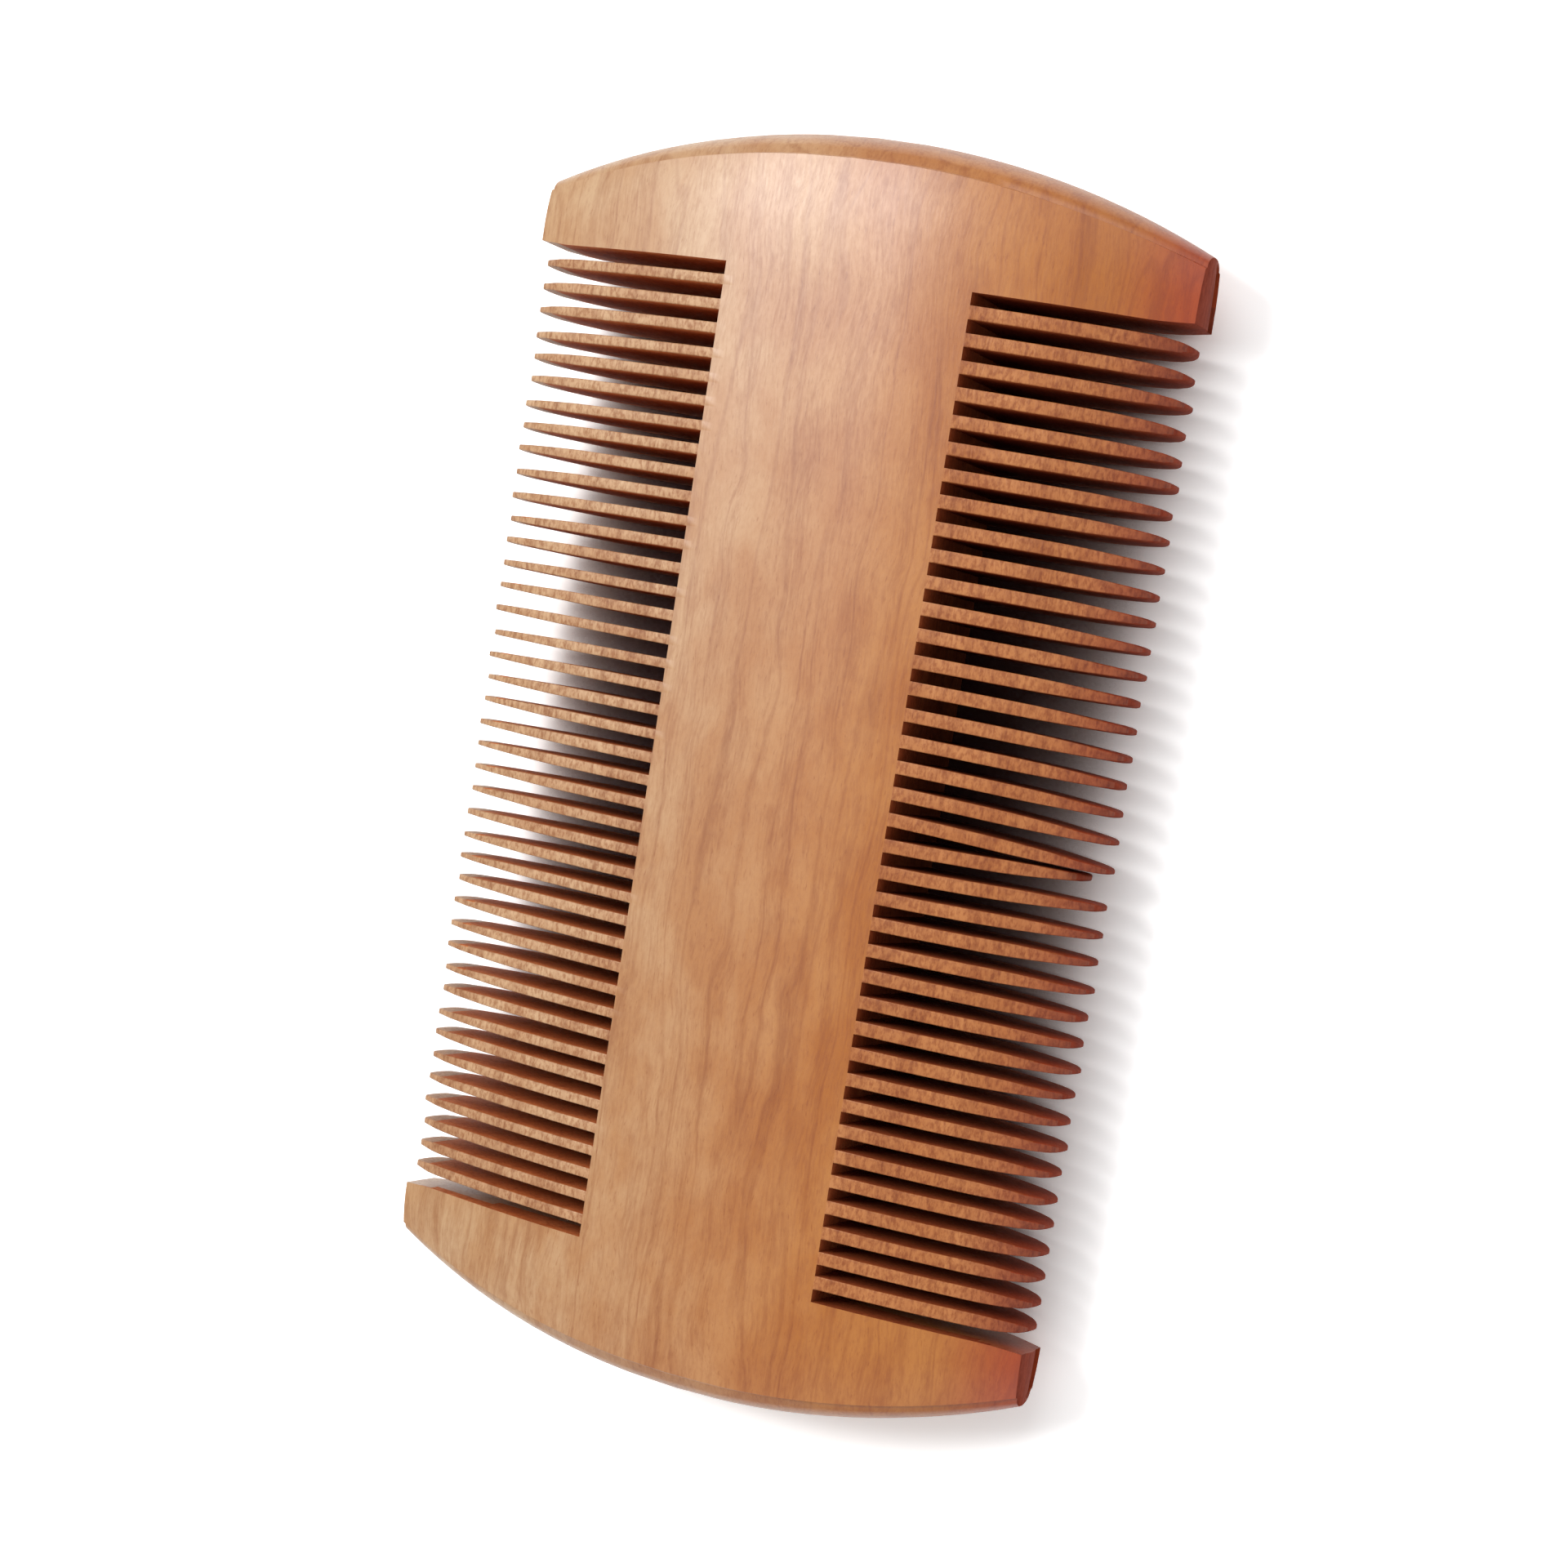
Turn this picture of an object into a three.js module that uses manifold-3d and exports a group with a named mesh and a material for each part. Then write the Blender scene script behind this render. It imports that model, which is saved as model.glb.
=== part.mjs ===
// Double-sided wooden beard comb, lying on its back.
//
// Millimetres. In the finished part +Z points up out of the front face, +Y
// runs along the board to its upper guard, +X points to the coarse teeth and
// -X to the fine teeth. The origin is under the middle of the board, on the
// surface that its back lies on.
//
// The pieces are drawn on the standing board, which is laid down at the end:
// there Z runs along the board, from the lower guard up, and -Y is the front.
//
// The real comb is sawn from one board. Its regions are modelled as separate
// closed solids that meet face to face: the spine, the solid guard at each
// end, and the teeth of each row in runs, each run on its own strip of root.

import * as THREE from 'three';
import { mergeVertices } from 'three/addons/utils/BufferGeometryUtils.js';
import Module from 'manifold-3d';

const wasm = await Module();
wasm.setup();

// ---- Board -----------------------------------------------------------------

const ROW_LENGTH = 78;          // from guard to guard, along Z
const WIDTH = 55.5;             // from tooth tip to tooth tip
const THICKNESS = 11.5;         // at the flat band down the middle
const FLAT_BAND_WIDTH = 8;      // flat part of the front and back faces
const GUARD_EDGE_THICKNESS = 4.4;
const GUARD_EDGE_LENGTH = 5;    // straight side of a guard, along Z
const END_ARC_RISE = 6;         // how far an end bows out past its corners
const END_ROUNDING = 2.4;       // how far the bullnose of an end reaches in

// ---- Teeth -----------------------------------------------------------------

const ROOT_STRIP = 1.2;         // width of the root strip that carries a run

const FINE = {
  name: 'fine_teeth',
  side: -1,
  count: 41,
  runs: 4,
  toothWidth: 0.8,
  rootOffset: 9.3,              // from the middle of the board to the slot ends
  taperLength: 8.6,
  tipLength: 0.7,
  tipWidth: 0.42,
  color: 0xd3a47c,
};

const COARSE = {
  name: 'coarse_teeth',
  side: 1,
  count: 38,
  runs: 4,
  toothWidth: 1.03,
  rootOffset: 11.2,
  taperLength: 6.6,
  tipLength: 0.8,
  tipWidth: 0.5,
  color: 0xb4683a,
};

const TOOTH_EDGE_THICKNESS = 3.6;  // of a tooth where its nose begins
const NOSE_LENGTH = 2;             // over which a tooth's tip thins to its nose
const NOSE_THICKNESS = 1.4;

// ---- Fineness --------------------------------------------------------------

const FACE_STEPS = 7;           // facets from the flat band to a side edge
const TAPER_STEPS = 3;          // facets along each side of a tooth's taper
const ARC_SEGMENTS = 120;       // facets in the full circle of an end's arc
const ROUNDING_STEPS = 5;       // facets of the bullnose, each side

// ---- Derived sizes ---------------------------------------------------------

const GUARD_LENGTH = GUARD_EDGE_LENGTH + END_ARC_RISE;
const HEIGHT = ROW_LENGTH + 2 * GUARD_LENGTH;
const HALF_WIDTH = WIDTH / 2;
const ARC_RADIUS =
  (HALF_WIDTH ** 2 + END_ARC_RISE ** 2) / (2 * END_ARC_RISE);

const FINISH = { roughness: 0.42, metalness: 0 };

// ---- Solids ----------------------------------------------------------------

/** A three.js geometry as a manifold-3d solid. */
function toSolid(geometry) {
  const plain = geometry.clone();
  plain.deleteAttribute('normal');
  plain.deleteAttribute('uv');
  const merged = mergeVertices(plain, 1e-5);
  const mesh = new wasm.Mesh({
    numProp: 3,
    vertProperties: new Float32Array(merged.attributes.position.array),
    triVerts: new Uint32Array(merged.index.array),
  });
  mesh.merge();
  return new wasm.Manifold(mesh);
}

/** A manifold-3d solid as a flat-shaded three.js geometry. */
function toGeometry(solid) {
  const { vertProperties, triVerts } = solid.getMesh();
  const indexed = new THREE.BufferGeometry();
  indexed.setAttribute(
    'position', new THREE.BufferAttribute(Float32Array.from(vertProperties), 3));
  indexed.setIndex(new THREE.BufferAttribute(Uint32Array.from(triVerts), 1));
  const geometry = indexed.toNonIndexed();
  geometry.computeVertexNormals();
  return geometry;
}

/** Extrudes an outline drawn in X and Y along Z, from z = 0 to z = length. */
function alongZ(points, length) {
  return new THREE.ExtrudeGeometry(
    new THREE.Shape(points),
    { depth: length, bevelEnabled: false });
}

/** Extrudes an outline drawn in X and Z through the whole board, along Y. */
function throughBoard(points) {
  const depth = THICKNESS + 2;
  const geometry = new THREE.ExtrudeGeometry(
    new THREE.Shape(points),
    { depth, bevelEnabled: false });
  return geometry.rotateX(Math.PI / 2).translate(0, depth / 2, 0);
}

// ---- Cross-section of the board --------------------------------------------

/** Half the thickness at a distance from the middle, for a given side edge. */
function halfThickness(distance, edgeThickness) {
  const run = (distance - FLAT_BAND_WIDTH / 2) / (HALF_WIDTH - FLAT_BAND_WIDTH / 2);
  const fall = Math.max(0, run) ** 2;
  return (THICKNESS - (THICKNESS - edgeThickness) * fall) / 2;
}

/** Distances from the middle at which a face of the board changes facet. */
function facetLines() {
  const first = FLAT_BAND_WIDTH / 2;
  const lines = [];
  for (let step = 0; step <= FACE_STEPS; step += 1) {
    lines.push(first + (HALF_WIDTH - first) * step / FACE_STEPS);
  }
  return lines;
}

/** The part of the board's lens section that lies from x = from to x = to. */
function boardSection(from, to) {
  const lines = facetLines();
  const inside = [...lines.map((line) => -line).reverse(), ...lines]
    .filter((x) => x > from && x < to);
  const xs = [from, ...inside, to];
  const half = (x) => halfThickness(Math.abs(x), GUARD_EDGE_THICKNESS);
  return [
    ...xs.map((x) => new THREE.Vector2(x, -half(x))),
    ...xs.reverse().map((x) => new THREE.Vector2(x, half(x))),
  ];
}

/** The section that teeth are shaped to, from a root strip out to the tips. */
function toothSection(row) {
  const start = row.rootOffset - ROOT_STRIP;
  const shoulder = HALF_WIDTH - NOSE_LENGTH;
  const lines = facetLines().filter((x) => x > start && x < shoulder);
  const blend = (x) => {
    // On the root strip a tooth has the board's own section. Further out it
    // thins to its own edge thickness.
    const out = Math.max(0, (x - row.rootOffset) / (HALF_WIDTH - row.rootOffset));
    return GUARD_EDGE_THICKNESS + (TOOTH_EDGE_THICKNESS - GUARD_EDGE_THICKNESS) * out;
  };
  const profile = [start, row.rootOffset, ...lines, shoulder]
    .sort((a, b) => a - b)
    .map((x) => [x, halfThickness(x, blend(x))]);
  profile.push([HALF_WIDTH - NOSE_LENGTH / 3, TOOTH_EDGE_THICKNESS / 2.6]);
  profile.push([HALF_WIDTH, NOSE_THICKNESS / 2]);
  const front = profile.map(([x, y]) => new THREE.Vector2(row.side * x, -y));
  const back = profile.map(([x, y]) => new THREE.Vector2(row.side * x, y));
  return [...front, ...back.reverse()];
}

// ---- Spine and guards ------------------------------------------------------

const spineFrom = -(FINE.rootOffset - ROOT_STRIP);
const spineTo = COARSE.rootOffset - ROOT_STRIP;

/** The disc whose rim bounds an end of the board, with its edge bullnosed. */
function endDisc() {
  const half = THICKNESS / 2;
  const capHalf = half + 1;
  const inner = ARC_RADIUS - END_ROUNDING;
  const rim = [];
  for (let step = 0; step <= 2 * ROUNDING_STEPS; step += 1) {
    const angle = -Math.PI / 2 + (Math.PI / 2) * (step / ROUNDING_STEPS);
    rim.push(new THREE.Vector2(
      inner + END_ROUNDING * Math.cos(angle), half * Math.sin(angle)));
  }
  return new THREE.LatheGeometry([
    new THREE.Vector2(0, -capHalf),
    new THREE.Vector2(inner, -capHalf),
    ...rim,
    new THREE.Vector2(inner, capHalf),
    new THREE.Vector2(0, capHalf),
  ], ARC_SEGMENTS);
}

/** A guard with its inner face on z = 0 and its arc towards +Z. */
function guardGeometry() {
  const block = toSolid(alongZ(boardSection(-HALF_WIDTH, HALF_WIDTH), GUARD_LENGTH + 1));
  const disc = toSolid(endDisc().translate(0, 0, GUARD_LENGTH - ARC_RADIUS));
  return toGeometry(block.intersect(disc));
}

// ---- Tooth rows ------------------------------------------------------------

/** Sizes of a row that follow from its teeth and its length. */
function rowPitch(row) {
  const slot = (ROW_LENGTH - row.count * row.toothWidth) / (row.count + 1);
  return { slot, pitch: slot + row.toothWidth };
}

/** Half the width of a tooth at a distance back from its tip. */
function toothHalfWidth(row, back) {
  if (back >= row.taperLength) return row.toothWidth / 2;
  const along = (back - row.tipLength) / (row.taperLength - row.tipLength);
  const grown = Math.sin(Math.PI / 2 * Math.max(0, along)) ** 0.9;
  return (row.tipWidth + (row.toothWidth - row.tipWidth) * grown) / 2;
}

/** One tooth's outline from its root up its lower side and back down its upper. */
function toothOutline(row, centre) {
  const backs = [];
  for (let step = 0; step <= TAPER_STEPS; step += 1) {
    backs.push(row.taperLength
      + (row.tipLength - row.taperLength) * step / TAPER_STEPS);
  }
  const sides = [
    [row.rootOffset, row.toothWidth / 2],
    ...backs.map((back) => [HALF_WIDTH - back, toothHalfWidth(row, back)]),
    [HALF_WIDTH, row.tipWidth / 4],
  ];
  return [
    ...sides.map(([x, half]) => new THREE.Vector2(row.side * x, centre - half)),
    ...sides.reverse().map(([x, half]) => new THREE.Vector2(row.side * x, centre + half)),
  ];
}

/** The runs of a row: which teeth each has, and where its root strip lies. */
function runsOf(row) {
  const { slot, pitch } = rowPitch(row);
  const cut = (tooth) => {
    if (tooth === 0) return 0;
    if (tooth === row.count) return ROW_LENGTH;
    return slot / 2 + tooth * pitch;   // halfway across the slot below it
  };
  const runs = [];
  for (let run = 0; run < row.runs; run += 1) {
    const first = Math.round(row.count * run / row.runs);
    const next = Math.round(row.count * (run + 1) / row.runs);
    runs.push({ first, next, from: cut(first), to: cut(next) });
  }
  return runs;
}

/** A run of teeth on its root strip, with the strip's lower end on z = 0. */
function runGeometry(row, run) {
  const { slot, pitch } = rowPitch(row);
  const inner = row.side * (row.rootOffset - ROOT_STRIP);
  const outer = row.side * row.rootOffset;
  const outline = [new THREE.Vector2(inner, 0), new THREE.Vector2(outer, 0)];
  for (let tooth = run.first; tooth < run.next; tooth += 1) {
    const centre = slot + tooth * pitch + row.toothWidth / 2 - run.from;
    outline.push(...toothOutline(row, centre));
  }
  const length = run.to - run.from;
  outline.push(new THREE.Vector2(outer, length), new THREE.Vector2(inner, length));
  const teeth = toSolid(throughBoard(outline));
  const section = toSolid(alongZ(toothSection(row), length));
  return toGeometry(teeth.intersect(section));
}

// ---- Assembly --------------------------------------------------------------

function wood(color) {
  return new THREE.MeshStandardMaterial({ color, ...FINISH });
}

function named(name, geometry, material) {
  const mesh = new THREE.Mesh(geometry, material);
  mesh.name = name;
  return mesh;
}

function toothRow(row) {
  const group = new THREE.Group();
  group.position.z = GUARD_LENGTH;
  runsOf(row).forEach((run, index) => {
    const mesh = named(`${row.name}_${index + 1}`, runGeometry(row, run), wood(row.color));
    mesh.position.z = run.from;
    group.add(mesh);
  });
  return group;
}

const comb = new THREE.Group();
comb.name = 'beard_comb';

const spine = named(
  'spine',
  toGeometry(toSolid(alongZ(boardSection(spineFrom, spineTo), ROW_LENGTH))),
  wood(0xc68a5c));
spine.position.z = GUARD_LENGTH;
comb.add(spine);

const guardUpper = named('guard_upper', guardGeometry(), wood(0xcf9a6e));
guardUpper.position.z = GUARD_LENGTH + ROW_LENGTH;
comb.add(guardUpper);

const guardLower = named('guard_lower', guardGeometry(), wood(0xbd7a4c));
guardLower.rotation.y = Math.PI;
guardLower.position.z = GUARD_LENGTH;
comb.add(guardLower);

comb.add(toothRow(FINE), toothRow(COARSE));

// The standing board is laid on its back, with its middle over the origin.
comb.rotation.x = -Math.PI / 2;
comb.position.set(0, -HEIGHT / 2, THICKNESS / 2);

export default comb;
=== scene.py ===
"""A double-sided wooden beard comb, lying on its back on a pale surface.

The comb is one board of fruitwood. It is drawn here as the real one is made:
a lens-shaped board, sawn from both long sides, with each tooth then ground to
a point and the ends bowed and bullnosed. The board is worked standing, with Z
along it and -Y its front, and is laid on its back when it is finished. Sizes
inside the classes are metres.
"""

from __future__ import annotations

import logging
import math
import random
from dataclasses import dataclass, field
from enum import Enum
from typing import Iterable

import bmesh
import bpy
from bmesh.types import BMEdge, BMFace, BMesh, BMVert
from mathutils import Matrix, Vector


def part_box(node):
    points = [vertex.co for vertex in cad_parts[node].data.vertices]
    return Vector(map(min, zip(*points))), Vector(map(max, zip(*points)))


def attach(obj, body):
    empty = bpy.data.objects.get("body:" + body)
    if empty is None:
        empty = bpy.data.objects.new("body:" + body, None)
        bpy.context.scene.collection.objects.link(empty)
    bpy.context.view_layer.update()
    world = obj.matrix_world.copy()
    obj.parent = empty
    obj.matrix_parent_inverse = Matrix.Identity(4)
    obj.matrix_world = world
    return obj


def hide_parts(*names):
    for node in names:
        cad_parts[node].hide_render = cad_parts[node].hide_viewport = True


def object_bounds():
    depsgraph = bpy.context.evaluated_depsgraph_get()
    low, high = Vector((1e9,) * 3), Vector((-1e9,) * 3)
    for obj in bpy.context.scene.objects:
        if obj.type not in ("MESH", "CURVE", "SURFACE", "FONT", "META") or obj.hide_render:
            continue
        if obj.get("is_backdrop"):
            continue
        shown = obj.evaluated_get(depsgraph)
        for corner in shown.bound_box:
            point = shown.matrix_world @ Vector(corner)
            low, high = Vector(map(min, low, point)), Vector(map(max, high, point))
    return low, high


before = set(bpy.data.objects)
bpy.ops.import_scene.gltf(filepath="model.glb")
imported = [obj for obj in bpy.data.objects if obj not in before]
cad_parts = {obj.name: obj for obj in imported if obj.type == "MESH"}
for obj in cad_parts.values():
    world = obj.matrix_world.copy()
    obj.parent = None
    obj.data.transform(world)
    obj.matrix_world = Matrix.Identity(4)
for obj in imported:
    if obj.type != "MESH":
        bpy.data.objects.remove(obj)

LOG = logging.getLogger("beard_comb")
MM = 0.001
PER_MM = 1 / MM
SAME_PLACE = 1e-6


# ---------------------------------------------------------------------------
# Sizes
# ---------------------------------------------------------------------------


class Side(Enum):
    """The two long sides of the board, by the way they face along X."""

    FINE = -1
    COARSE = 1


@dataclass(frozen=True)
class BoardSize:
    """The board's own sizes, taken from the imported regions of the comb.

    The first seven come from the frame. The others are the shaping: the lens
    section, the bowed and bullnosed ends, the lean of the saw cuts towards the
    lower guard, and how the guards' inner corners are ground away.
    """

    half_width: float
    half_thickness: float
    top: float
    row_bottom: float
    row_top: float
    fine_root: float
    coarse_root: float
    flat_half: float = 4.0 * MM
    edge_half: float = 2.2 * MM
    end_rise: float = 6.0 * MM
    bullnose: float = 2.0 * MM
    bullnose_at_corner: float = 0.9 * MM
    end_fall: float = 0.72 * MM
    end_fall_length: float = 9.0 * MM
    side_round: float = 0.85 * MM
    corner_round: float = 0.75 * MM
    saw_lean: float = -0.08
    grind_depth: float = 0.25 * MM
    grind_length: float = 3.2 * MM
    root_strip: float = 1.2 * MM
    slot_lip: float = 0.3 * MM
    pale_tip: float = 2.2 * MM

    @classmethod
    def from_frame(cls) -> "BoardSize":
        """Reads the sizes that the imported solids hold.

        Returns:
            The board's sizes in metres.
        """
        low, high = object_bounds()
        _, lower_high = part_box("guard_lower")
        upper_low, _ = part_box("guard_upper")
        _, fine_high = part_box("fine_teeth_1")
        coarse_low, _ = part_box("coarse_teeth_1")
        return cls(
            half_width=(high[0] - low[0]) / 2,
            half_thickness=(high[2] - low[2]) / 2,
            top=high[1] - low[1],
            row_bottom=lower_high[1] - low[1],
            row_top=upper_low[1] - low[1],
            fine_root=-fine_high[0] + cls.root_strip,
            coarse_root=coarse_low[0] + cls.root_strip,
        )

    def laid_down(self) -> Matrix:
        """The turn that lays the standing board on its back, over the origin."""
        return Matrix((
            (1, 0, 0, 0),
            (0, 0, 1, -self.top / 2),
            (0, -1, 0, self.half_thickness),
            (0, 0, 0, 1),
        ))

    def half_at(self, x: float, edge_half: float) -> float:
        """Half the board's thickness at a place across its width.

        Args:
            x: Distance across the board, either way from its middle.
            edge_half: Half the thickness that the lens falls to at the side.

        Returns:
            Half the thickness there.
        """
        run = (abs(x) - self.flat_half) / (self.half_width - self.flat_half)
        fall = max(0.0, run) ** 2
        return self.half_thickness - (self.half_thickness - edge_half) * fall

    def bow_at(self, x: float) -> float:
        """How far the end's arc has fallen from its crown at a place across."""
        radius = (self.half_width**2 + self.end_rise**2) / (2 * self.end_rise)
        return radius - math.sqrt(radius**2 - min(abs(x), self.half_width) ** 2)


@dataclass(frozen=True)
class Tooth:
    """One tooth as it was sawn and ground, with its own small errors.

    It lies between low and high along the board, its taper is the length that
    is ground, and its tip leans aside and may be shorter than the others.
    """

    low: float
    high: float
    taper: float
    lean: float
    tip: float
    shorter: float

    @property
    def centre(self) -> float:
        """The height of the tooth's middle at its root."""
        return (self.low + self.high) / 2

    @property
    def half(self) -> float:
        """Half the tooth's width at its root."""
        return (self.high - self.low) / 2


@dataclass
class ToothRow:
    """A row of teeth: how it is divided, and how its teeth are ground.

    The taper is longest in the middle of the row and shortest at its two ends,
    lower end first. The teeth on either side of a sprung slot have bent
    towards each other, their neighbours follow a little, and the lower one has
    lost its tip.
    """

    side: Side
    count: int
    tooth_width: float
    root: float
    taper_middle: float
    taper_ends: tuple[float, float]
    tip_width: float
    nose_length: float
    edge_half: float
    wander: float
    seed: int
    taper_bend: float = 1.35
    sprung_slot: float | None = None
    spring: float = 0.72 * MM
    spring_reach: float = 4.0
    broken_off: float = 1.7 * MM
    teeth: list[Tooth] = field(default_factory=list)

    def divide(self, bottom: float, top: float) -> None:
        """Lays the teeth out between the guards, with a sawyer's small errors.

        Args:
            bottom: Where the row starts.
            top: Where it ends.
        """
        rng = random.Random(self.seed)
        slot = (top - bottom - self.count * self.tooth_width) / (self.count + 1)
        for index in range(self.count):
            low = bottom + slot + index * (slot + self.tooth_width)
            low += rng.uniform(-1, 1) * self.wander
            width = self.tooth_width + rng.uniform(-1, 1) * self.wander
            middle = math.sin(math.pi * (index + 0.5) / self.count) ** 0.8
            first, last = self.taper_ends
            end = first + (last - first) * index / (self.count - 1)
            taper = end + (self.taper_middle - end) * middle
            lean = rng.gauss(0, 1) * self.wander * 1.6
            shorter = rng.uniform(0.0, 0.25) * MM
            if self.sprung_slot is not None:
                gap = self.sprung_slot - index
                lean += math.copysign(self.spring, gap) * math.exp(-abs(gap) / self.spring_reach)
                shorter += self.broken_off if 0 < gap < 1 else 0.0
            self.teeth.append(
                Tooth(
                    low=low,
                    high=low + width,
                    taper=taper * rng.uniform(0.9, 1.1),
                    lean=lean,
                    tip=self.tip_width * rng.uniform(0.88, 1.14),
                    shorter=shorter,
                )
            )


# ---------------------------------------------------------------------------
# The comb's board
# ---------------------------------------------------------------------------


@dataclass
class CombBoard:
    """The whole comb: one board with its guards, spine and two rows of teeth."""

    size: BoardSize
    rows: tuple[ToothRow, ToothRow]
    thickness_steps: int = 10
    lens_steps: int = 5
    guard_steps: int = 14
    tooth_edge: float = 0.09 * MM
    end_scores: tuple[float, ...] = (1.0, 1.6, 2.4, 3.4)
    taper_scores: tuple[float, ...] = (1.08, 0.84, 0.64, 0.47, 0.33, 0.22)
    nose_scores: tuple[float, ...] = (1.0, 0.7, 0.42, 0.2, 0.06, 0.0)
    root_station: float = 0.35 * MM
    edge_run: float = 0.5 * MM
    blunting: float = 0.35
    sharp_angle: float = math.radians(52)

    def build(self) -> bpy.types.Object:
        """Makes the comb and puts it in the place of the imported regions.

        Returns:
            The finished object.
        """
        bm = bmesh.new()
        tooth_of = bm.verts.layers.int.new("tooth")
        self._saw_spine(bm)
        for row in self.rows:
            self._mark_row(bm, row)
            self._draw_guards(bm, row)
            self._draw_teeth(bm, row, tooth_of)
        corners = self._corner_edges(bm)
        self._shape(bm, tooth_of)
        self._round_corners(bm, corners)
        self._finish_faces(bm)
        return self._place(bm)

    # -- spine --------------------------------------------------------------

    def _saw_spine(self, bm: BMesh) -> None:
        """Starts from the straight block between the two root lines.

        Args:
            bm: The mesh to start in.
        """
        size = self.size
        low, high = -size.fine_root, size.coarse_root
        bmesh.ops.create_cube(bm, size=1.0)
        bmesh.ops.scale(bm, vec=(high - low, 2 * size.half_thickness, size.top), verts=bm.verts)
        bmesh.ops.translate(bm, vec=((high + low) / 2, 0, size.top / 2), verts=bm.verts)
        for root, sign in ((size.fine_root, -1), (size.coarse_root, 1)):
            for step in range(self.lens_steps):
                across = size.flat_half + (root - size.flat_half) * step / self.lens_steps
                self._cut(bm, bm.faces, (sign * across, 0, 0), (1, 0, 0))
        self._cut(bm, bm.faces, (0, 0, 0), (1, 0, 0))
        for step in range(1, self.thickness_steps):
            angle = math.pi * (step / self.thickness_steps - 0.5)
            level = math.sin(angle) * size.half_thickness
            self._cut(bm, bm.faces, (0, level, 0), (0, 1, 0))
        margin = size.bullnose * 1.1
        insets = [margin * score for score in self.end_scores]
        for inset in (*insets, size.row_bottom):
            for level in (inset, size.top - inset):
                self._cut(bm, bm.faces, (0, 0, level), (0, 0, 1))

    @staticmethod
    def _cut(
        bm: BMesh,
        faces: Iterable[BMFace],
        point: tuple[float, float, float],
        normal: tuple[float, float, float],
    ) -> None:
        """Scores a plane across some faces of the board.

        Args:
            bm: The mesh.
            faces: The faces to score.
            point: A point of the plane.
            normal: The plane's normal.
        """
        faces = list(faces)
        edges = dict.fromkeys(edge for face in faces for edge in face.edges)
        verts = dict.fromkeys(vert for face in faces for vert in face.verts)
        bmesh.ops.bisect_plane(
            bm,
            geom=[*verts, *edges, *faces],
            dist=1e-7,
            plane_co=point,
            plane_no=normal,
        )

    def _side_faces(self, bm: BMesh, side: Side) -> list[BMFace]:
        """The faces of one side of the board, outside its flat band."""
        edge = self.size.flat_half * 0.999
        return [f for f in bm.faces if f.calc_center_median().x * side.value > edge]

    def _wall_faces(self, bm: BMesh, row: ToothRow, low: float, high: float) -> list[BMFace]:
        """The faces of a root wall between two heights.

        Args:
            bm: The mesh.
            row: The row whose root wall is meant.
            low: The lower height.
            high: The upper height.

        Returns:
            The faces, which lie in the plane of the root line.
        """
        found = []
        for face in bm.faces:
            centre = face.calc_center_median()
            on_wall = abs(centre.x * row.side.value - row.root) < SAME_PLACE
            if on_wall and abs(face.normal.x) > 0.9 and low < centre.z < high:
                found.append(face)
        return found

    def _mark_row(self, bm: BMesh, row: ToothRow) -> None:
        """Scores every tooth's two saw lines, and a line inside each.

        Args:
            bm: The mesh.
            row: The row to mark out.
        """
        row.divide(self.size.row_bottom, self.size.row_top)
        for tooth in row.teeth:
            inner = self.tooth_edge
            for level in (tooth.low, tooth.low + inner, tooth.high - inner, tooth.high):
                near = [
                    face
                    for face in self._side_faces(bm, row.side)
                    if min(v.co.z for v in face.verts) < level < max(v.co.z for v in face.verts)
                ]
                self._cut(bm, near, (0, 0, level), (0, 0, 1))

    # -- what grows out of the spine -----------------------------------------

    def _grow(self, bm: BMesh, faces: list[BMFace], x: float) -> list[BMFace]:
        """Draws faces outwards to a new place across the board.

        Args:
            bm: The mesh.
            faces: The faces to draw out.
            x: Where they go.

        Returns:
            The drawn faces.
        """
        grown = bmesh.ops.extrude_face_region(bm, geom=faces)["geom"]
        for item in grown:
            if isinstance(item, BMVert):
                item.co.x = x
        stale = [face for face in faces if face.is_valid]
        if stale:
            bmesh.ops.delete(bm, geom=stale, context="FACES")
        return [item for item in grown if isinstance(item, BMFace)]

    def _draw_guards(self, bm: BMesh, row: ToothRow) -> None:
        """Draws both guards out to the board's side.

        Args:
            bm: The mesh.
            row: The row on that side.
        """
        size = self.size
        for low, high in ((-1.0, size.row_bottom), (size.row_top, size.top + 1.0)):
            faces = self._wall_faces(bm, row, low, high)
            for step in range(1, self.guard_steps + 1):
                share = math.sin(math.pi / 2 * step / self.guard_steps)
                x = row.root + (size.half_width - row.root) * share
                faces = self._grow(bm, faces, row.side.value * x)

    def _tooth_stations(self, row: ToothRow) -> list[float]:
        """Distances back from a tip at which a tooth changes section.

        Args:
            row: The row of teeth.

        Returns:
            The distances, from near the root to the tip itself.
        """
        length = self.size.half_width - row.root
        body = [length - self.root_station, length * 0.78]
        taper = [row.taper_middle * score for score in self.taper_scores]
        nose = [row.nose_length * score for score in self.nose_scores]
        return body + [back for back in taper if back > nose[0] * 1.2] + nose

    def _draw_teeth(self, bm: BMesh, row: ToothRow, tooth_of: object) -> None:
        """Draws all the teeth of a row out from the root wall.

        Args:
            bm: The mesh.
            row: The row of teeth.
            tooth_of: The layer that says which tooth a vertex belongs to.
        """
        faces: list[BMFace] = []
        for index, tooth in enumerate(row.teeth):
            wall = self._wall_faces(bm, row, tooth.low, tooth.high)
            for face in wall:
                for vert in face.verts:
                    vert[tooth_of] = (index + 1) * row.side.value
            faces += wall
        for back in self._tooth_stations(row):
            x = row.side.value * (self.size.half_width - back)
            faces = self._grow(bm, faces, x)

    # -- shaping --------------------------------------------------------------

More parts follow.
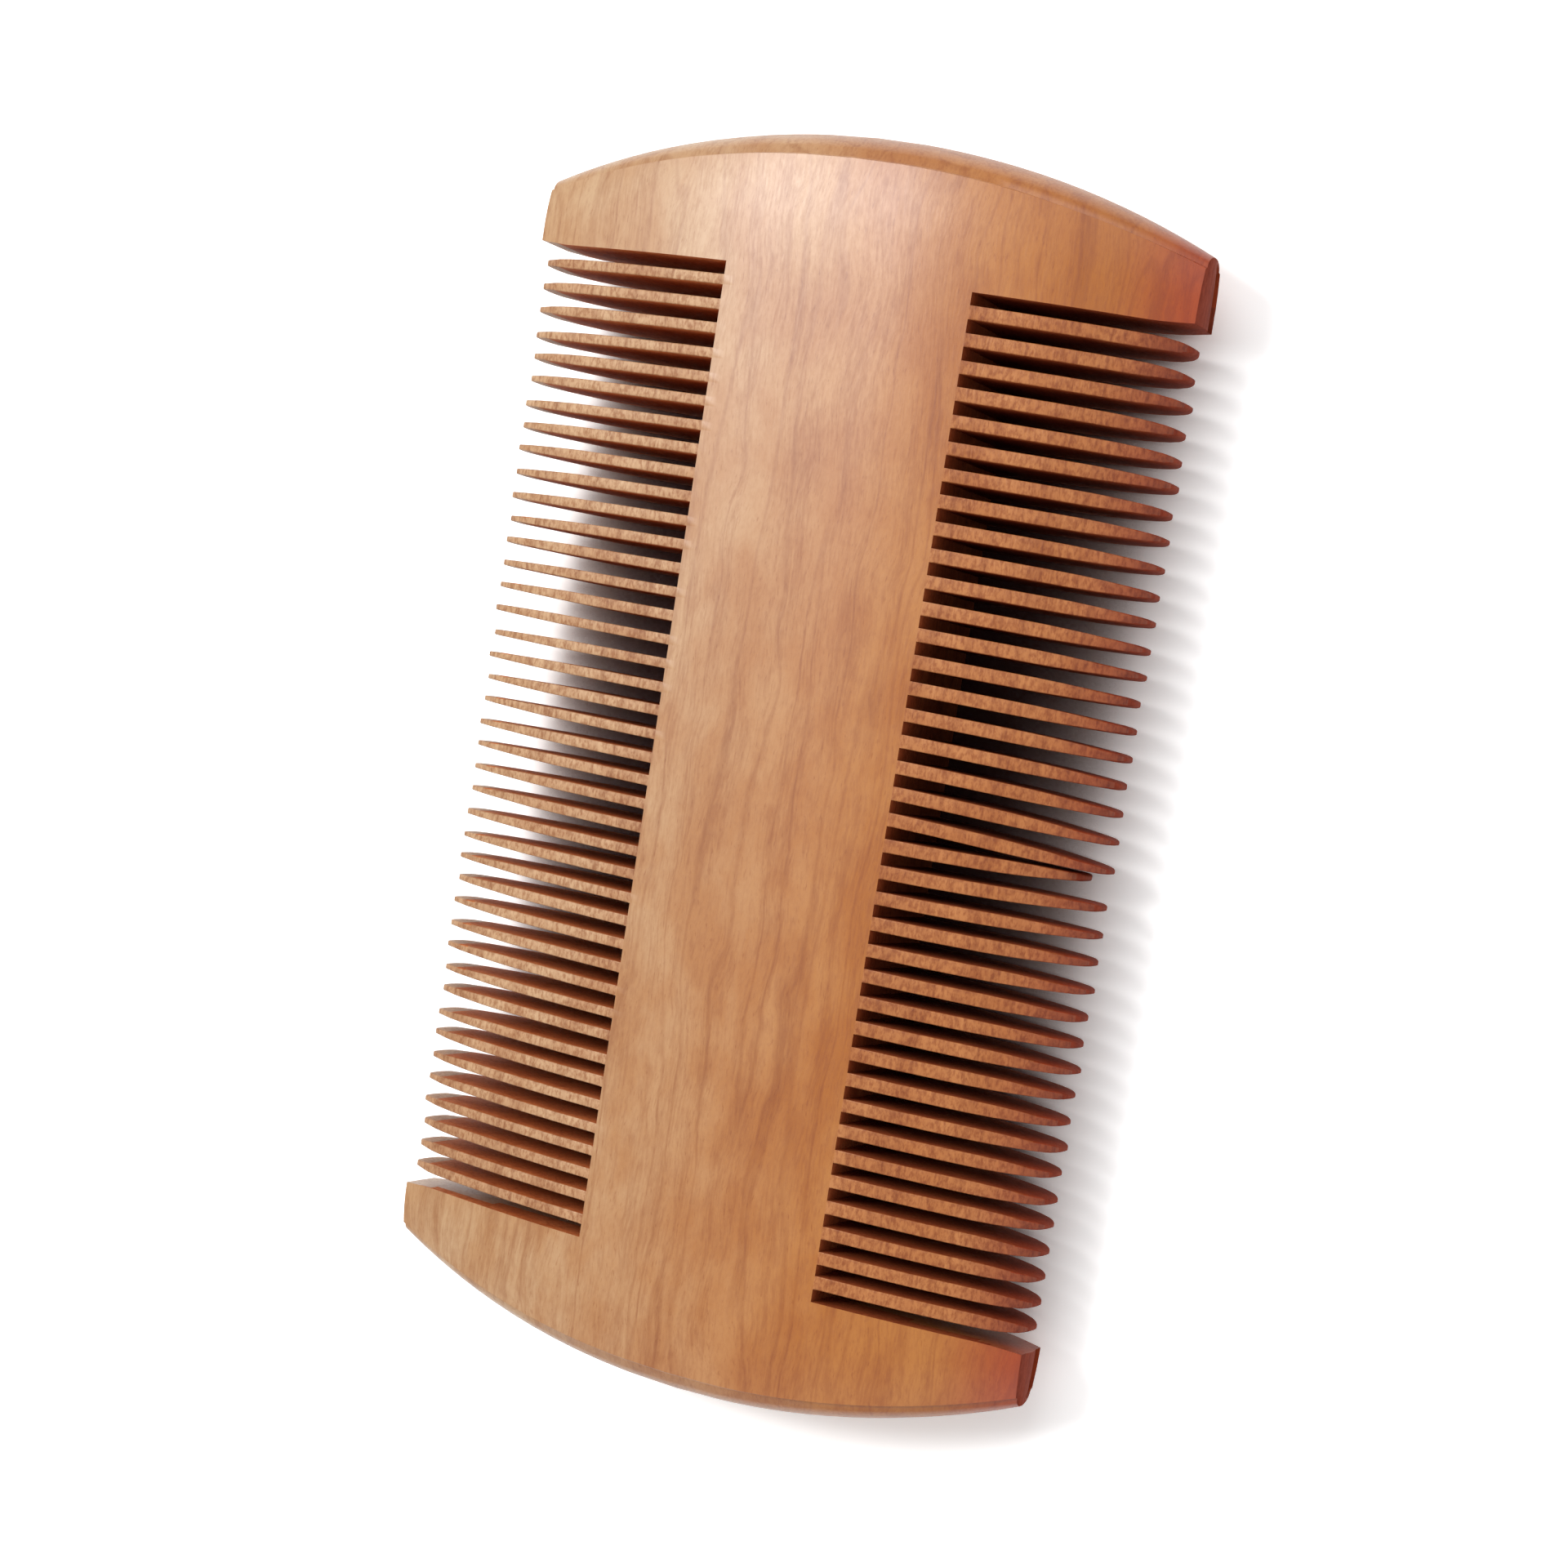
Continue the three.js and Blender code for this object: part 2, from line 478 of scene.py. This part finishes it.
    def _corner_edges(self, bm: BMesh) -> list[BMEdge]:
        """The edges through the board at the eight corners of the guards."""
        size = self.size
        levels = (0.0, size.row_bottom, size.row_top, size.top)
        found = []
        for edge in bm.edges:
            a, b = (vert.co for vert in edge.verts)
            at_side = abs(abs(a.x) - size.half_width) < SAME_PLACE
            runs_through = abs(a.x - b.x) < 1e-7 and abs(a.z - b.z) < 1e-7
            at_level = any(abs(a.z - level) < SAME_PLACE for level in levels)
            if at_side and runs_through and at_level:
                found.append(edge)
        return found

    def _shape(self, bm: BMesh, tooth_of: object) -> None:
        """Turns the straight board into the lens, the bows and the points.

        Args:
            bm: The mesh.
            tooth_of: The layer that says which tooth a vertex belongs to.
        """
        by_side = {row.side.value: row for row in self.rows}
        for vert in bm.verts:
            mark = vert[tooth_of]
            if mark:
                row = by_side[1 if mark > 0 else -1]
                self._shape_tooth(vert, row, row.teeth[abs(mark) - 1])
            else:
                self._shape_board(vert)

    def _shape_board(self, vert: BMVert) -> None:
        """Moves one vertex of the spine or a guard to its place."""
        size = self.size
        x, y, z = vert.co
        across = y / size.half_thickness
        inset = min(z, size.top - z)
        fall = size.end_fall * max(0.0, 1 - inset / size.end_fall_length) ** 2
        vert.co.y = across * (size.half_at(x, size.edge_half) - fall)
        drop = size.bow_at(x)
        side_share = (abs(x) / size.half_width) ** 3
        nose = size.bullnose + (size.bullnose_at_corner - size.bullnose) * side_share
        rounding = 1 - math.sqrt(max(0.0, 1 - across**2))
        if abs(x) > size.half_width - SAME_PLACE:
            vert.co.x -= math.copysign(size.side_round * rounding, x)
        back = size.half_width - abs(x)
        ground = size.grind_depth * max(0.0, 1 - back / size.grind_length) ** 1.3
        root = size.fine_root if x < 0 else size.coarse_root
        sawn = abs(x) > root - SAME_PLACE
        lean = size.saw_lean * (vert.co.y + size.half_thickness) if sawn else 0.0
        if abs(z - size.row_top) < SAME_PLACE:
            vert.co.z += ground + lean
        elif abs(z - size.row_bottom) < SAME_PLACE:
            vert.co.z -= ground - lean
        elif z > size.row_top:
            depth = size.top - size.row_top
            vert.co.z = size.row_top + (z - size.row_top) * (depth - drop) / depth
            if z > size.top - SAME_PLACE:
                vert.co.z -= nose * rounding
        elif z < size.row_bottom:
            depth = size.row_bottom
            vert.co.z = size.row_bottom - (size.row_bottom - z) * (depth - drop) / depth
            if z < SAME_PLACE:
                vert.co.z += nose * rounding

    def _shape_tooth(self, vert: BMVert, row: ToothRow, tooth: Tooth) -> None:
        """Moves one vertex of a tooth to its ground place.

        Args:
            vert: The vertex, on the straight tooth.
            row: The row it is in.
            tooth: The tooth it belongs to.
        """
        size = self.size
        x, y, z = vert.co
        out = max(0.0, abs(x) - row.root)
        length = size.half_width - row.root
        back = max(0.0, size.half_width - abs(x))
        share = out / length
        across = y / size.half_thickness
        level = (z - tooth.centre) / tooth.half

        edge_half = size.edge_half + (row.edge_half - size.edge_half) * share
        thick = size.half_at(x, edge_half)
        nose = min(1.0, back / (row.nose_length * 2.4))
        thick *= self.rounded(nose, 2.2, 0.14)

        ground = max(0.0, 1 - back / tooth.taper)
        width = 1 - (1 - tooth.tip / (2 * tooth.half)) * ground**row.taper_bend
        tip = min(1.0, back / row.nose_length)
        width *= self.rounded(tip, 2, 0.2)

        blunt = self.blunting * ground**1.6
        pinch = math.sqrt(1 - blunt * across**2)
        inner = 1 - self.tooth_edge / tooth.half
        ridge = min(1.0, out / self.edge_run)
        new_y = across * thick
        if abs(level) > (1 + inner) / 2 and abs(across) > 0.999:
            new_y -= math.copysign(self.tooth_edge * ridge, across)
        vert.co.y = new_y
        sawn = size.saw_lean * (new_y + size.half_thickness)
        wander = tooth.lean * share**1.5
        vert.co.z = tooth.centre + tooth.half * level * width * pinch + wander + sawn
        vert.co.x = math.copysign(abs(x) - tooth.shorter * share**3, x)

    @staticmethod
    def rounded(back: float, fullness: float, least: float) -> float:
        """The share of its full size that a rounded end has at a place.

        Args:
            back: How far the place is from the end, as a share of the rounding.
            fullness: How quickly the rounding fills out.
            least: The share at the very end.

        Returns:
            The share there.
        """
        return (1 - (1 - back) ** fullness) ** 0.5 * (1 - least) + least

    def _round_corners(self, bm: BMesh, edges: list[BMEdge]) -> None:
        """Breaks the guards' corners, as sanding does.

        Args:
            bm: The mesh.
            edges: The edges through the board at those corners.
        """
        bmesh.ops.bevel(
            bm,
            geom=[edge for edge in edges if edge.is_valid],
            offset=self.size.corner_round,
            offset_type="OFFSET",
            segments=3,
            profile=0.5,
            affect="EDGES",
            material=-1,
            clamp_overlap=True,
        )

    def _finish_faces(self, bm: BMesh) -> None:
        """Sorts faces into polished, sawn and ground ones and smooths the mesh.

        Args:
            bm: The mesh.
        """
        size = self.size
        bmesh.ops.recalc_face_normals(bm, faces=bm.faces)
        bm.normal_update()
        for face in bm.faces:
            face.smooth = True
            centre = face.calc_center_median()
            row_low, row_high = size.row_bottom - size.slot_lip, size.row_top + size.slot_lip
            between = row_low < centre.z < row_high
            root = size.fine_root if centre.x < 0 else size.coarse_root
            beyond = abs(centre.x) > root - 1e-5
            cut = abs(face.normal.y) < 0.5
            pale_tip = size.half_width + centre.x < size.pale_tip
            if between and beyond:
                face.material_index = 1 if cut and not pale_tip else 2
            else:
                face.material_index = 1 if abs(face.normal.x) > 0.8 else 0
        for edge in bm.edges:
            if len(edge.link_faces) == 2:
                edge.smooth = edge.calc_face_angle() < self.sharp_angle

    def _place(self, bm: BMesh) -> bpy.types.Object:
        """Makes the object from the mesh and hands it to the frame.

        Args:
            bm: The finished mesh, which is freed.

        Returns:
            The object.
        """
        bmesh.ops.transform(bm, matrix=self.size.laid_down(), verts=bm.verts)
        mesh = bpy.data.meshes.new("comb_board")
        bm.to_mesh(mesh)
        bm.free()
        for finish in (POLISHED, SAWN, GROUND):
            mesh.materials.append(finish.material())
        comb = bpy.data.objects.new("comb_board", mesh)
        bpy.context.scene.collection.objects.link(comb)
        weighted = comb.modifiers.new("even_faces", "WEIGHTED_NORMAL")
        weighted.keep_sharp = True
        weighted.weight = 80
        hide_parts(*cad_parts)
        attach(comb, "root")
        return comb


# ---------------------------------------------------------------------------
# Finishes
# ---------------------------------------------------------------------------

Colour = tuple[float, float, float]


class Graph:
    """A short way to write shader nodes in code."""

    def __init__(self, tree: bpy.types.NodeTree) -> None:
        """Takes the node tree that is written to."""
        self.tree = tree

    def node(self, kind: str, **settings: object) -> bpy.types.Node:
        """Adds a node and sets its properties."""
        node = self.tree.nodes.new(kind)
        for name, value in settings.items():
            setattr(node, name, value)
        return node

    def feed(self, socket: bpy.types.NodeSocket, value: object) -> None:
        """Links a socket to another, or sets it to a plain value.

        Args:
            socket: The input.
            value: An output socket, a number, a vector or a colour.
        """
        if isinstance(value, bpy.types.NodeSocket):
            self.tree.links.new(value, socket)
        elif value is not None:
            socket.default_value = value

    def math(self, operation: str, a: object, b: object = None,
             c: object = None) -> bpy.types.NodeSocket:
        """A Math node.

        Args:
            operation: Its operation.
            a: The first value.
            b: The second value.
            c: The third value.

        Returns:
            The result.
        """
        node = self.node("ShaderNodeMath", operation=operation)
        for socket, value in zip(node.inputs, (a, b, c)):
            self.feed(socket, value)
        return node.outputs[0]

    def dot(self, vector: object, way: Vector) -> bpy.types.NodeSocket:
        """How far a vector points along a fixed direction."""
        node = self.node("ShaderNodeVectorMath", operation="DOT_PRODUCT")
        self.feed(node.inputs[0], vector)
        node.inputs[1].default_value = way.normalized()
        return node.outputs["Value"]

    def scaled(self, vector: object, scale: tuple[float, float, float],
               offset: tuple[float, float, float] = (0, 0, 0)) -> bpy.types.NodeSocket:
        """A vector stretched by a Mapping node, then moved."""
        node = self.node("ShaderNodeMapping")
        self.feed(node.inputs["Vector"], vector)
        node.inputs["Scale"].default_value = scale
        node.inputs["Location"].default_value = offset
        return node.outputs[0]

    def noise(self, vector: object, detail: float = 2.0,
              rough: float = 0.5) -> bpy.types.NodeSocket:
        """Noise of scale 1 on a vector, as a value about one half."""
        node = self.node("ShaderNodeTexNoise")
        self.feed(node.inputs["Vector"], vector)
        node.inputs["Scale"].default_value = 1.0
        node.inputs["Detail"].default_value = detail
        node.inputs["Roughness"].default_value = rough
        return node.outputs["Fac"]

    def ramp(self, value: object, low: float, high: float, to_low: float = 0.0,
             to_high: float = 1.0) -> bpy.types.NodeSocket:
        """A value mapped smoothly from one range to another.

        Args:
            value: The value.
            low: Where the first range starts.
            high: Where it ends.
            to_low: Where the second range starts.
            to_high: Where it ends.

        Returns:
            The mapped value.
        """
        node = self.node("ShaderNodeMapRange", interpolation_type="SMOOTHSTEP")
        for name, number in (("From Min", low), ("From Max", high),
                             ("To Min", to_low), ("To Max", to_high)):
            node.inputs[name].default_value = number
        self.feed(node.inputs["Value"], value)
        return node.outputs["Result"]

    def mix(self, factor: object, a: object, b: object,
            blend: str = "MIX") -> bpy.types.NodeSocket:
        """A colour mix.

        Args:
            factor: How far towards the second colour.
            a: The first colour.
            b: The second colour.
            blend: The blend type.

        Returns:
            The mixed colour.
        """
        node = self.node("ShaderNodeMix", data_type="RGBA", blend_type=blend)
        self.feed(node.inputs[0], factor)
        self.feed(node.inputs[6], (*a, 1.0) if isinstance(a, tuple) else a)
        self.feed(node.inputs[7], (*b, 1.0) if isinstance(b, tuple) else b)
        return node.outputs[2]


def group(name: str, outputs: Iterable[str]) -> tuple[Graph, bpy.types.Node]:
    """Starts a shader node group that puts out values.

    Args:
        name: The group's name.
        outputs: The names of its outputs.

    Returns:
        The group's graph and its output node.
    """
    tree = bpy.data.node_groups.new(name, "ShaderNodeTree")
    for label in outputs:
        tree.interface.new_socket(label, in_out="OUTPUT", socket_type="NodeSocketFloat")
    graph = Graph(tree)
    return graph, graph.node("NodeGroupOutput")


class Timber:
    """The grain of the board, which every cut through it shares, and its painted sheen and
    shade.
    """

    NAME = "board_grain_and_painted_light"
    OUTPUTS = ("Streak", "Pore", "Ring", "Cloud", "Fleck", "SheenToShade", "ShadedEdge", "Relief")

    @staticmethod
    def mottle(graph: Graph, place: bpy.types.NodeSocket, per_mm: tuple[float, float, float],
               detail: float, rough: float = 0.5,
               offset: tuple[float, float, float] = (0, 0, 0)) -> bpy.types.NodeSocket:
        """Noise that is drawn out along the board.

        Args:
            graph: The graph to add it to.
            place: The place on the board.
            per_mm: Its waves per millimetre across, along and through the board.
            detail: How many finer layers it has.
            rough: How strong they are.
            offset: How far it is moved, to differ from another of the same kind.

        Returns:
            The noise, as a value about one half.
        """
        scale = tuple(waves * PER_MM for waves in per_mm)
        return graph.noise(graph.scaled(place, scale, offset), detail, rough)

    @classmethod
    def tree(cls) -> bpy.types.NodeTree:
        """The grain's node group, made once.

        Returns:
            A group that puts out the grain's streaks, pores, ring lines, clouds
            and flecks, a mask of painted light that runs from painted sheen on the
            fine side to painted shade on the coarse side, a mask of painted shade on
            the coarse side's edge, and the board's relief.
        """
        if cls.NAME in bpy.data.node_groups:
            return bpy.data.node_groups[cls.NAME]
        graph, leave = group(cls.NAME, cls.OUTPUTS)
        place = graph.node("ShaderNodeTexCoord").outputs["Object"]
        waver = cls.mottle(graph, place, (0.16, 0.075, 0.16), 2.5)
        shift = graph.node("ShaderNodeVectorMath", operation="MULTIPLY_ADD")
        graph.feed(shift.inputs[0], waver)
        shift.inputs[1].default_value = (3.0 * MM, 0, 1.4 * MM)
        graph.feed(shift.inputs[2], place)
        bent = shift.outputs[0]

        fibre = cls.mottle(graph, bent, (4.6, 0.55, 4.6), 3.0, 0.6)
        band = cls.mottle(graph, bent, (0.75, 0.06, 0.6), 4.0, 0.62)
        streak = graph.math("MULTIPLY_ADD", band, 0.55, graph.math("MULTIPLY", fibre, 0.45))
        pore = cls.mottle(graph, bent, (6.5, 1.1, 6.5), 2.0, 0.55, offset=(3.1, 1.7, 0.4))
        rings = cls.mottle(graph, bent, (0.3, 0.012, 0.3), 1.0)
        ring = graph.math("ABSOLUTE", graph.math("SUBTRACT", rings, 0.53))
        cloud = cls.mottle(graph, place, (0.17, 0.09, 0.17), 4.0, 0.6)
        fleck = cls.mottle(graph, place, (3.4, 1.7, 3.4), 3.0, 0.65)
        parts = graph.node("ShaderNodeSeparateXYZ")
        graph.feed(parts.inputs[0], place)
        # Painted light across the board: from painted sheen on the fine side, where the light
        # falls, to painted shade on the coarse side, with a cloudy border.
        across = graph.math("MULTIPLY_ADD", cloud, 7 * MM, parts.outputs["X"])
        # Painted shade on the coarse side's edge, which faces away from the light.
        edge = graph.math("MULTIPLY_ADD", fleck, 1.2 * MM, parts.outputs["X"])
        relief = graph.math("MULTIPLY_ADD", fibre, 0.6, graph.math("MULTIPLY", fleck, 0.4))
        for label, value in (
            ("Streak", graph.ramp(streak, 0.42, 0.66)),
            ("Pore", graph.ramp(pore, 0.6, 0.76)),
            ("Ring", graph.ramp(ring, 0.0, 0.028, 1.0, 0.0)),
            ("Cloud", graph.ramp(cloud, 0.36, 0.64)),
            ("Fleck", graph.ramp(fleck, 0.38, 0.68)),
            ("SheenToShade", graph.ramp(across, -17 * MM, 20 * MM)),
            ("ShadedEdge", graph.ramp(edge, 21 * MM, 28.6 * MM)),
            ("Relief", relief),
        ):
            graph.feed(leave.inputs[label], value)
        return graph.tree


@dataclass(frozen=True)
class WoodFinish:
    """How one surface of the wood is coloured and polished, with painted sheen on the fine side
    and painted shade on the coarse side.
    """

    name: str
    pale: Colour
    deep: Colour
    # The two colours above are the fine side's, paled by painted sheen; these two are the coarse
    # side's, deepened by painted shade.
    pale_shade_side: Colour
    deep_shade_side: Colour
    # Painted shade for the coarse side's edge.
    edge: Colour
    streak: Colour
    streak_amount: float
    pore_amount: float
    fleck_amount: float
    roughness: float
    relief: float
    specular: float = 0.5
    coat: float = 0.0
    coat_roughness: float = 0.27
    ring_amount: float = 0.35
    relief_depth: float = 0.05 * MM

    def material(self) -> bpy.types.Material:
        """Makes the material.

        Returns:
            The wood with this finish.
        """
        material = bpy.data.materials.new(self.name)
        material.use_nodes = True
        material.node_tree.nodes.clear()
        graph = Graph(material.node_tree)
        grain = graph.node("ShaderNodeGroup", node_tree=Timber.tree())
        shader = graph.node("ShaderNodeBsdfPrincipled")
        out = graph.node("ShaderNodeOutputMaterial")
        graph.feed(out.inputs["Surface"], shader.outputs[0])
        # The fine side's colours carry painted sheen; they blend across the board into the
        # coarse side's colours, which carry painted shade.
        near = graph.mix(grain.outputs["Cloud"], self.pale, self.deep)
        far = graph.mix(grain.outputs["Cloud"], self.pale_shade_side, self.deep_shade_side)
        body = graph.mix(grain.outputs["SheenToShade"], near, far)
        # Painted shade darkens the coarse side's edge.
        body = graph.mix(grain.outputs["ShadedEdge"], body, self.edge)
        for label, amount in (
            ("Streak", self.streak_amount),
            ("Fleck", self.fleck_amount),
            ("Pore", self.pore_amount),
            ("Ring", self.ring_amount),
        ):
            share = graph.math("MULTIPLY", grain.outputs[label], amount)
            body = graph.mix(share, body, self.streak, "MULTIPLY")
        graph.feed(shader.inputs["Base Color"], body)
        graph.feed(
            shader.inputs["Roughness"],
            graph.ramp(grain.outputs["Relief"], 0.2, 0.8, self.roughness - 0.06,
                       self.roughness + 0.08))
        bump = graph.node("ShaderNodeBump")
        bump.inputs["Strength"].default_value = self.relief
        bump.inputs["Distance"].default_value = self.relief_depth
        graph.feed(bump.inputs["Height"], grain.outputs["Relief"])
        graph.feed(shader.inputs["Normal"], bump.outputs[0])
        shader.inputs["Coat Weight"].default_value = self.coat
        shader.inputs["Coat Roughness"].default_value = self.coat_roughness
        shader.inputs["Specular IOR Level"].default_value = self.specular
        return material


# In each finish the first two colours are the fine side's, paled by painted sheen, and the next
# two the coarse side's, deepened by painted shade.
POLISHED = WoodFinish(
    name="polished_fruitwood",
    pale=(0.50, 0.310, 0.165),
    deep=(0.44, 0.232, 0.100),
    pale_shade_side=(0.44, 0.160, 0.030),
    deep_shade_side=(0.38, 0.118, 0.016),
    edge=(0.35, 0.050, 0.006),
    streak=(0.66, 0.46, 0.30),
    streak_amount=0.55,
    pore_amount=0.5,
    fleck_amount=0.16,
    roughness=0.42,
    relief=0.3,
    specular=0.5,
    coat=0.48,
)

GROUND = WoodFinish(
    name="ground_fruitwood",
    pale=(0.54, 0.340, 0.190),
    deep=(0.47, 0.260, 0.130),
    pale_shade_side=(0.47, 0.180, 0.055),
    deep_shade_side=(0.40, 0.135, 0.035),
    edge=(0.27, 0.048, 0.014),
    streak=(0.55, 0.34, 0.20),
    streak_amount=0.35,
    pore_amount=0.55,
    fleck_amount=0.75,
    roughness=0.5,
    relief=0.9,
    specular=0.4,
)

# Painted light and shade in the saw cuts: the fine side's slot walls are painted lit red-brown,
# the coarse side's painted nearly black.
SAWN = WoodFinish(
    name="sawn_fruitwood",
    pale=(0.62, 0.210, 0.070),
    deep=(0.55, 0.160, 0.045),
    pale_shade_side=(0.36, 0.085, 0.024),
    deep_shade_side=(0.28, 0.055, 0.014),
    edge=(0.26, 0.036, 0.010),
    streak=(0.6, 0.42, 0.3),
    streak_amount=0.5,
    pore_amount=0.4,
    fleck_amount=0.4,
    roughness=0.65,
    relief=0.6,
    specular=0.2,
)


# ---------------------------------------------------------------------------
# Studio
# ---------------------------------------------------------------------------


@dataclass
class Studio:
    """The surface the comb lies on, the soft light and the camera."""

    size: BoardSize
    camera_way: tuple[float, float, float] = (0.40334, 0.10896, 0.90854)
    aim_across: float = -0.17 * MM
    aim_along: float = -0.62 * MM
    roll: float = math.radians(8.85)
    distance: float = 235.14 * MM
    lens: float = 68.3
    room: float = 1.4
    floor_lit: Colour = (0.85, 0.85, 0.85)
    floor_seen: Colour = (1.32, 1.32, 1.32)
    # Painted shade under the comb, tinted red as by light bounced off the wood.
    floor_painted_shade: Colour = (0.10, 0.035, 0.03)
    shade_paint_reach: float = 11 * MM

    def build(self) -> None:
        """Makes the floor, the light and the camera."""
        self._floor()
        self._sky()
        self._lamp("key_softbox", way=Vector((-0.45, 0.27, 0.85)), distance=0.62, width=0.18,
                   power=1.8)
        self._lamp("side_softbox", way=Vector((-0.62, 0.24, 0.75)), distance=0.62, width=0.34,
                   power=0.75)
        self._sun("top_window", way=Vector((-0.10, 0.70, 0.70)), strength=0.70, spread=40.0)
        self._camera()

    def _floor(self) -> None:
        """A wide pale floor, with deep shade painted into its colour where the comb covers it.
        """
        bm = bmesh.new()
        bmesh.ops.create_grid(bm, x_segments=1, y_segments=1, size=6.0)
        mesh = bpy.data.meshes.new("floor")
        bm.to_mesh(mesh)
        bm.free()
        floor = bpy.data.objects.new("floor", mesh)
        bpy.context.scene.collection.objects.link(floor)
        material = bpy.data.materials.new("pale_floor")
        material.use_nodes = True
        shader = material.node_tree.nodes["Principled BSDF"]
        graph = Graph(material.node_tree)
        seen = graph.node("ShaderNodeLightPath").outputs["Is Camera Ray"]
        # Painted shade: ambient occlusion darkens the floor's colour where the comb covers it.
        cover = graph.node("ShaderNodeAmbientOcclusion", samples=24)
        cover.inputs["Distance"].default_value = self.shade_paint_reach
        uncovered = graph.ramp(cover.outputs["AO"], 0.04, 0.42, 0.0, 1.0)
        shade = graph.mix(uncovered, self.floor_painted_shade, self.floor_seen)
        graph.feed(shader.inputs["Base Color"], graph.mix(seen, self.floor_lit, shade))
        shader.inputs["Roughness"].default_value = 0.9
        shader.inputs["Specular IOR Level"].default_value = 0.1
        mesh.materials.append(material)
        floor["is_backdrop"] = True

    def _sky(self) -> None:
        """A white room, lit from the comb's ends and coarse side, shaded overhead."""
        world = bpy.data.worlds.new("white_room")
        bpy.context.scene.world = world
        world.use_nodes = True
        graph = Graph(world.node_tree)
        back = world.node_tree.nodes["Background"]
        seen = graph.node("ShaderNodeLightPath").outputs["Is Camera Ray"]
        way = graph.node("ShaderNodeTexCoord").outputs["Generated"]
        along = graph.dot(way, Vector((0, 1, 0)))
        ends = graph.math("ABSOLUTE", graph.math("ADD", along, 0.08))
        sides = graph.math("MAXIMUM", ends, graph.dot(way, Vector((1, 0, 0))))
        overhead = graph.ramp(sides, 0.18, 0.55, 0.14, 1.0)
        window = graph.ramp(along, -0.5, 0.8, 0.8, 0.55)
        rise = graph.ramp(graph.dot(way, Vector((0, 0, 1))), 0.0, 0.5, 0.12, 1.0)
        lit = graph.math("MULTIPLY", graph.math("MULTIPLY", overhead, window),
                         graph.math("MULTIPLY", rise, self.room))
        strength = graph.node("ShaderNodeMix", data_type="FLOAT")
        graph.feed(strength.inputs[0], seen)
        graph.feed(strength.inputs[2], lit)
        graph.feed(strength.inputs[3], 1.05)
        graph.feed(back.inputs["Strength"], strength.outputs[0])
        back.inputs["Color"].default_value = (1, 1, 1, 1)

    def _lamp(self, name: str, way: Vector, distance: float, width: float,
              power: float) -> None:
        """A soft square lamp that looks at the comb's middle.

        Args:
            name: The lamp's name.
            way: The way from the comb to the lamp.
            distance: How far off it is.
            width: The length of its sides.
            power: Its power in watts.
        """
        data = bpy.data.lights.new(name, "AREA")
        data.shape = "SQUARE"
        data.size = width
        data.energy = power
        lamp = bpy.data.objects.new(name, data)
        bpy.context.scene.collection.objects.link(lamp)
        back = way.normalized()
        lamp.location = Vector((0, 0, self.size.half_thickness)) + back * distance
        lamp.rotation_euler = (-back).to_track_quat("-Z", "Y").to_euler()

    def _sun(self, name: str, way: Vector, strength: float, spread: float) -> None:
        """A wide, soft sun that stands for the room's windows.

        Args:
            name: The light's name.
            way: The way from the comb to the light.
            strength: Its strength.
            spread: Its width in degrees.
        """
        data = bpy.data.lights.new(name, "SUN")
        data.energy = strength
        data.angle = math.radians(spread)
        lamp = bpy.data.objects.new(name, data)
        bpy.context.scene.collection.objects.link(lamp)
        lamp.rotation_euler = (-way).to_track_quat("-Z", "Y").to_euler()

    def _camera(self) -> None:
        """The camera, high above the comb and to the coarse side."""
        data = bpy.data.cameras.new("camera")
        data.lens = self.lens
        data.sensor_width = 36.0
        data.clip_start = 0.01
        data.clip_end = 20.0
        camera = bpy.data.objects.new("camera", data)
        bpy.context.scene.collection.objects.link(camera)
        back = Vector(self.camera_way).normalized()
        aim = Vector((self.aim_across, self.aim_along, self.size.half_thickness))
        right = Vector((0, 1, 0)).cross(back).normalized()
        up = back.cross(right)
        level = Matrix((right, up, back)).transposed()
        turn = Matrix.Rotation(self.roll, 3, back)
        camera.location = aim + back * self.distance
        camera.rotation_euler = (turn @ level).to_euler()
        bpy.context.scene.camera = camera
        bpy.context.scene.view_settings.view_transform = "Standard"


# ---------------------------------------------------------------------------
# The whole scene
# ---------------------------------------------------------------------------


def main() -> None:
    """Builds the comb and its studio."""
    logging.basicConfig(level=logging.INFO, format="%(name)s: %(message)s")
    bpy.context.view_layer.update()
    size = BoardSize.from_frame()
    fine = ToothRow(
        side=Side.FINE, count=41, tooth_width=0.8 * MM, root=size.fine_root,
        taper_middle=9.2 * MM, taper_ends=(2.2 * MM, 4.2 * MM),
        taper_bend=1.35, tip_width=0.46 * MM, nose_length=0.55 * MM,
        edge_half=2.0 * MM, wander=0.035 * MM, seed=11)
    coarse = ToothRow(
        side=Side.COARSE, count=38, tooth_width=1.03 * MM, root=size.coarse_root,
        taper_middle=8.4 * MM, taper_ends=(3.4 * MM, 2.7 * MM),
        taper_bend=1.9, tip_width=0.62 * MM, nose_length=0.95 * MM,
        edge_half=2.05 * MM, wander=0.03 * MM, seed=23, sprung_slot=17.5)
    board = CombBoard(size, (fine, coarse))
    comb = board.build()
    LOG.info("comb_board: %d faces", len(comb.data.polygons))
    Studio(size).build()
    LOG.info("studio: floor, light and camera")


if __name__ == "__main__":
    main()
